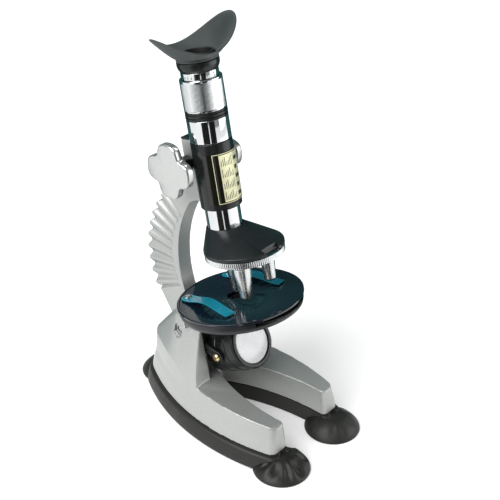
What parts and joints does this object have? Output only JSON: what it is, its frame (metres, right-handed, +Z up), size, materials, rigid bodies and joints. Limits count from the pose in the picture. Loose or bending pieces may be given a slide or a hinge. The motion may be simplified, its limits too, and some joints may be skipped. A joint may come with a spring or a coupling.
{
  "type": "kids microscope",
  "caption": "Toy compound microscope with a tilting ribbed arm, lens turret, zoom eyepiece, round stage with clips, mirror lamp and horseshoe base.",
  "frame": {"origin": "middle of the footprint, on the surface that the three suction feet stand on", "axes": "+Z up; -Y towards the open ends of the base legs, which is the side of the stage and turret; +X to the right as seen from -Y"},
  "size_m": [0.0966, 0.1769, 0.2868],
  "materials": {
    "silver_paint": "satin silver enamel",
    "base_rubber": "moulded black rubber, low sheen",
    "black_plastic": "satin black moulding",
    "stage_gloss": "polished blue-black",
    "teal_clip": "translucent teal",
    "chrome": "polished plate",
    "satin_metal": "satin turned",
    "knob_plate": "satin plate with polished edge",
    "zinc_steel": "zinc plated",
    "brass": "turned brass",
    "clear_lens": "clear moulded lens",
    "mirror_face": "silvered disc",
    "label_foil": "pale gold label, gloss lacquer",
    "eyecup_rubber": "soft matt rubber"
  },
  "bodies": {
    "base": {"base_shell": "silver_paint", "base_tray": "base_rubber", "front_foot_left": "base_rubber", "front_foot_right": "base_rubber", "rear_foot": "base_rubber", "tray_screw_left": "zinc_steel", "tray_screw_right": "zinc_steel", "tray_screw_rear": "zinc_steel", "arm_pivot_bolt": "zinc_steel", "pivot_nut": "zinc_steel"},
    "arm": {"arm_frame": "silver_paint", "gear_cover": "black_plastic", "shaft_bush_left": "black_plastic", "shaft_bush_right": "black_plastic", "stage_bracket": "black_plastic", "stage_table": "stage_gloss", "stage_pan": "stage_gloss", "stage_screw": "zinc_steel", "clip_rivet_left": "chrome", "clip_rivet_right": "chrome", "wheel_pivot_screw": "zinc_steel", "lamp_fork": "black_plastic", "bracket_screw": "zinc_steel"},
    "lamp": {"lamp_drum": "black_plastic", "lamp_bezel": "black_plastic", "mirror": "mirror_face", "lamp_lens": "clear_lens", "bulb": "clear_lens", "battery_cell": "zinc_steel", "lamp_screw_left": "brass", "lamp_screw_right": "brass"},
    "lamp_switch": {"lamp_switch": "black_plastic"},
    "tube": {"lower_tube": "chrome", "body_sleeve": "black_plastic", "sleeve_label": "label_foil", "upper_tube": "chrome", "index_ring": "black_plastic", "eyepiece_barrel": "chrome", "neck_ring": "black_plastic", "eye_lens": "clear_lens", "rack": "brass", "turret_cover": "black_plastic", "turret_screw": "chrome"},
    "turret": {"turret_disc": "chrome", "objective_high": "satin_metal", "objective_mid": "satin_metal", "objective_low": "satin_metal", "objective_lens_high": "clear_lens", "objective_lens_mid": "clear_lens", "objective_lens_low": "clear_lens"},
    "focus_drive": {"pinion_shaft": "brass", "focus_knob_left": "knob_plate", "focus_knob_right": "knob_plate"},
    "zoom_ring": {"zoom_ring": "chrome"},
    "zoom_carrier": {"lens_carrier": "black_plastic", "zoom_lens": "clear_lens"},
    "eyecup": {"eyecup": "eyecup_rubber"},
    "left_clip": {"left_clip": "teal_clip"},
    "right_clip": {"right_clip": "teal_clip"},
    "aperture_wheel": {"aperture_wheel": "black_plastic"}
  },
  "joints": [
    {"name": "arm_tilt", "type": "hinge", "parent": "base", "child": "arm", "pos_m": [0, 0.0335, 0.063], "axis": [-1, 0, 0], "range_deg": [0, 40]},
    {"name": "focus_slide", "type": "slide", "parent": "arm", "child": "tube", "axis": [0, 0.1913, 0.9815], "range_m": [-0.0015, 0.013]},
    {"name": "focus_turn", "type": "hinge", "parent": "arm", "child": "focus_drive", "pos_m": [0, 0.03258, 0.18989], "axis": [-1, 0, 0], "range_deg": [-30, 220]},
    {"name": "turret_turn", "type": "hinge", "parent": "tube", "child": "turret", "pos_m": [0, -0.01094, 0.13653], "axis": [0, 0.1913, 0.9815], "continuous": true},
    {"name": "zoom_turn", "type": "hinge", "parent": "tube", "child": "zoom_ring", "pos_m": [0, 0.02377, 0.23878], "axis": [0, 0.1913, 0.9815], "range_deg": [0, 120]},
    {"name": "zoom_slide", "type": "slide", "parent": "tube", "child": "zoom_carrier", "axis": [0, 0.1913, 0.9815], "range_m": [-0.0002, 0.0122]},
    {"name": "eyecup_turn", "type": "hinge", "parent": "tube", "child": "eyecup", "pos_m": [0, 0.02836, 0.26233], "axis": [0, 0.1913, 0.9815], "continuous": true},
    {"name": "left_clip_swing", "type": "hinge", "parent": "arm", "child": "left_clip", "pos_m": [-0.0208, 0.0231, 0.09423], "axis": [0, -0.1913, -0.9815], "range_deg": [-5, 60]},
    {"name": "right_clip_swing", "type": "hinge", "parent": "arm", "child": "right_clip", "pos_m": [0.0208, 0.0231, 0.09423], "axis": [0, 0.1913, 0.9815], "range_deg": [-5, 60]},
    {"name": "aperture_turn", "type": "hinge", "parent": "arm", "child": "aperture_wheel", "pos_m": [0, -0.02478, 0.09949], "axis": [0, 0.1913, 0.9815], "continuous": true},
    {"name": "lamp_flip", "type": "hinge", "parent": "arm", "child": "lamp", "pos_m": [0, -0.00355, 0.05735], "axis": [1, 0, 0], "continuous": true},
    {"name": "lamp_switch_slide", "type": "slide", "parent": "lamp", "child": "lamp_switch", "axis": [0, -0.8675, 0.4974], "range_m": [0, 0.0022]}
  ],
  "couplings": [
    {"joint": "focus_turn", "follows": "focus_slide", "rad_per_m": 285.71},
    {"joint": "zoom_slide", "follows": "zoom_turn", "m_per_rad": 0.0057296}
  ]
}
